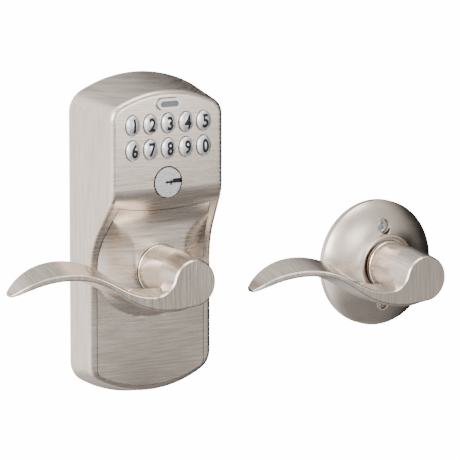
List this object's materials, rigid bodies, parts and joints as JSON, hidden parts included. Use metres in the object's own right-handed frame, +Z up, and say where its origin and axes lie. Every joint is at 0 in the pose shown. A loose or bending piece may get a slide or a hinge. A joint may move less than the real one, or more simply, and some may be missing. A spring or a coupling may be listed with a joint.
{
  "type": "keypad lever lock",
  "caption": "Keypad lever lock set: an arched escutcheon with oval number keys, key cylinder and wave lever, and a round domed rose with a matching lever.",
  "frame": {"origin": "exterior spindle axis on the door plane, midway between the two mounting posts", "axes": "+X right as seen from the front, +Y into the door, +Z up; the interior half stands beside the exterior half at +X"},
  "size_m": [0.2738, 0.097, 0.1657],
  "materials": {
    "satin_nickel": "satin brushed nickel",
    "lever_nickel": "satin brushed nickel",
    "key_silver": "satin silver",
    "inlay_grey": "gloss",
    "plug_face": "satin",
    "zinc_steel": "zinc plated",
    "brass": "machined",
    "black_rubber": "matte",
    "board_green": "solder mask",
    "black_plastic": "moulded",
    "battery_case": "printed can",
    "lead_black": "sleeved wire",
    "spring_steel": "drawn wire"
  },
  "bodies": {
    "root": {"escutcheon": "satin_nickel", "front_cover": "satin_nickel", "gasket": "black_rubber", "back_plate": "zinc_steel", "back_plate_screws": "zinc_steel", "mounting_posts": "zinc_steel", "keypad_mat": "black_rubber", "circuit_board": "board_green", "board_components": "black_plastic", "keypad_retainer": "zinc_steel", "board_screws": "zinc_steel", "battery": "battery_case", "battery_tray": "black_plastic", "battery_clip": "black_plastic", "battery_lead": "lead_black", "cylinder_shell": "brass", "driver_pins": "brass", "exterior_spring_cage": "zinc_steel", "exterior_return_spring": "spring_steel", "exterior_bush": "satin_nickel", "clutch_bracket": "zinc_steel", "clutch_motor": "zinc_steel", "rose": "satin_nickel", "interior_plate": "zinc_steel", "screw_cups": "satin_nickel", "machine_screws": "zinc_steel", "interior_spring_cage": "zinc_steel", "interior_return_spring": "spring_steel", "interior_bush": "satin_nickel"},
    "exterior_handle": {"exterior_lever": "lever_nickel", "exterior_sleeve": "zinc_steel", "exterior_lever_catch": "zinc_steel"},
    "interior_handle": {"interior_lever": "lever_nickel", "interior_sleeve": "zinc_steel", "interior_lever_catch": "zinc_steel", "interior_spindle": "zinc_steel"},
    "outside_spindle": {"outside_spindle": "zinc_steel"},
    "plug": {"cylinder_plug": "plug_face", "plug_clip": "zinc_steel", "cylinder_tailpiece": "brass"},
    "clutch_screw": {"clutch_screw": "zinc_steel"},
    "clutch_slider": {"clutch_slider": "black_plastic"},
    "function_button": {"function_button": "key_silver", "function_inlay": "inlay_grey"},
    "key_1": {"key_1": "key_silver"},
    "key_2": {"key_2": "key_silver"},
    "key_3": {"key_3": "key_silver"},
    "key_4": {"key_4": "key_silver"},
    "key_5": {"key_5": "key_silver"},
    "key_6": {"key_6": "key_silver"},
    "key_7": {"key_7": "key_silver"},
    "key_8": {"key_8": "key_silver"},
    "key_9": {"key_9": "key_silver"},
    "key_0": {"key_0": "key_silver"}
  },
  "joints": [
    {"name": "exterior_lever_turn", "type": "hinge", "parent": "root", "child": "exterior_handle", "pos_m": [0, 0, 0], "axis": [0, -1, 0], "range_deg": [-50, 50], "stiffness_Nm_per_rad": 1.6, "springref_deg": -0.84},
    {"name": "interior_lever_turn", "type": "hinge", "parent": "root", "child": "interior_handle", "pos_m": [0.145, 0, -0.0119], "axis": [0, -1, 0], "range_deg": [-50, 50], "stiffness_Nm_per_rad": 1.6, "springref_deg": -0.84},
    {"name": "outside_spindle_turn", "type": "hinge", "parent": "root", "child": "outside_spindle", "pos_m": [0, 0, 0], "axis": [0, -1, 0], "range_deg": [-50, 50]},
    {"name": "plug_turn", "type": "hinge", "parent": "root", "child": "plug", "pos_m": [0, 0, 0.0461], "axis": [0, -1, 0], "range_deg": [-90, 90]},
    {"name": "clutch_screw_turn", "type": "hinge", "parent": "root", "child": "clutch_screw", "pos_m": [0, -0.0083, 0.0246], "axis": [0, 0, -1], "range_deg": [0, 720]},
    {"name": "clutch_slide", "type": "slide", "parent": "root", "child": "clutch_slider", "axis": [0, 0, -1], "range_m": [0, 0.002]},
    {"name": "function_press", "type": "slide", "parent": "root", "child": "function_button", "axis": [0, 1, 0], "range_m": [0, 0.0012], "stiffness_N_per_m": 700},
    {"name": "key_1_press", "type": "slide", "parent": "root", "child": "key_1", "axis": [0, 1, 0], "range_m": [0, 0.0012], "stiffness_N_per_m": 700},
    {"name": "key_2_press", "type": "slide", "parent": "root", "child": "key_2", "axis": [0, 1, 0], "range_m": [0, 0.0012], "stiffness_N_per_m": 700},
    {"name": "key_3_press", "type": "slide", "parent": "root", "child": "key_3", "axis": [0, 1, 0], "range_m": [0, 0.0012], "stiffness_N_per_m": 700},
    {"name": "key_4_press", "type": "slide", "parent": "root", "child": "key_4", "axis": [0, 1, 0], "range_m": [0, 0.0012], "stiffness_N_per_m": 700},
    {"name": "key_5_press", "type": "slide", "parent": "root", "child": "key_5", "axis": [0, 1, 0], "range_m": [0, 0.0012], "stiffness_N_per_m": 700},
    {"name": "key_6_press", "type": "slide", "parent": "root", "child": "key_6", "axis": [0, 1, 0], "range_m": [0, 0.0012], "stiffness_N_per_m": 700},
    {"name": "key_7_press", "type": "slide", "parent": "root", "child": "key_7", "axis": [0, 1, 0], "range_m": [0, 0.0012], "stiffness_N_per_m": 700},
    {"name": "key_8_press", "type": "slide", "parent": "root", "child": "key_8", "axis": [0, 1, 0], "range_m": [0, 0.0012], "stiffness_N_per_m": 700},
    {"name": "key_9_press", "type": "slide", "parent": "root", "child": "key_9", "axis": [0, 1, 0], "range_m": [0, 0.0012], "stiffness_N_per_m": 700},
    {"name": "key_0_press", "type": "slide", "parent": "root", "child": "key_0", "axis": [0, 1, 0], "range_m": [0, 0.0012], "stiffness_N_per_m": 700}
  ],
  "couplings": [
    {"joint": "clutch_screw_turn", "follows": "clutch_slide", "rad_per_m": 6283}
  ]
}
